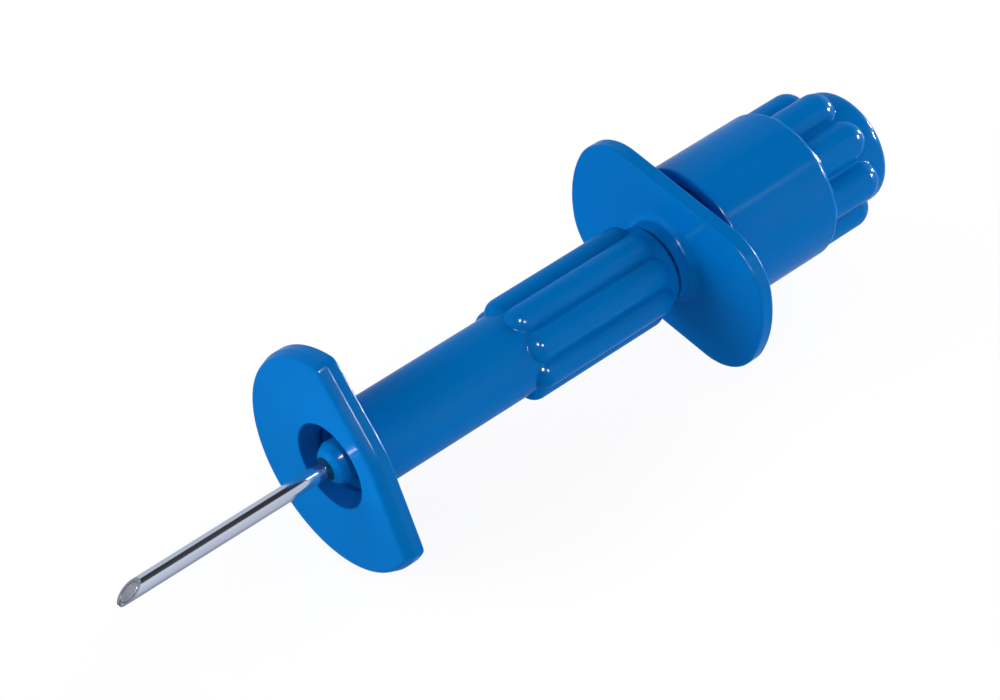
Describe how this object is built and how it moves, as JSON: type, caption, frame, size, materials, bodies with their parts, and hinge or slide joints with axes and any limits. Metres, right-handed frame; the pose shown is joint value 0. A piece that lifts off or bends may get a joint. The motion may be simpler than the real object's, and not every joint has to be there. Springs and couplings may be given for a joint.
{
  "type": "bone marrow needle with screw guard",
  "caption": "Bone marrow needle: steel cannula and stylet, screw-set guard with skin flange and fluted grip, winged finger flange and ribbed stylet cap.",
  "frame": {"origin": "centre of the skin flange's front face, on the needle's axis", "axes": "+X along the needle towards the stylet cap, +Z square to the finger flange's flats, +Y along the finger flange's wings"},
  "size_m": [0.0995, 0.0286, 0.0245],
  "materials": {
    "blue_plastic": "moulded gloss",
    "needle_steel": "polished",
    "clear_cement": "glossy bead",
    "insert_plastic": "satin",
    "ring_rubber": "matt",
    "socket_plastic": "gloss",
    "collar_brass": "turned"
  },
  "bodies": {
    "handle": {"cannula": "needle_steel", "needle_bond": "clear_cement", "cannula_hub": "blue_plastic", "finger_flange": "blue_plastic", "luer_socket": "socket_plastic"},
    "guard_travel": {"guard_friction_ring": "ring_rubber"},
    "guard": {"guard_sleeve": "blue_plastic", "guard_insert": "insert_plastic"},
    "stylet_unit": {"stylet": "needle_steel", "stylet_cap": "blue_plastic", "luer_plug": "socket_plastic", "stylet_collar": "collar_brass"}
  },
  "joints": [
    {"name": "guard_advance", "type": "slide", "parent": "handle", "child": "guard_travel", "axis": [-1, 0, 0], "range_m": [0, 0.02]},
    {"name": "guard_turn", "type": "hinge", "parent": "guard_travel", "child": "guard", "pos_m": [0.04, 0, 0], "axis": [-1, 0, 0], "range_deg": [0, 2880]},
    {"name": "stylet_withdraw", "type": "slide", "parent": "handle", "child": "stylet_unit", "axis": [1, 0, 0], "range_m": [0, 0.09]}
  ],
  "couplings": [
    {"joint": "guard_turn", "follows": "guard_advance", "rad_per_m": 2513.2}
  ]
}
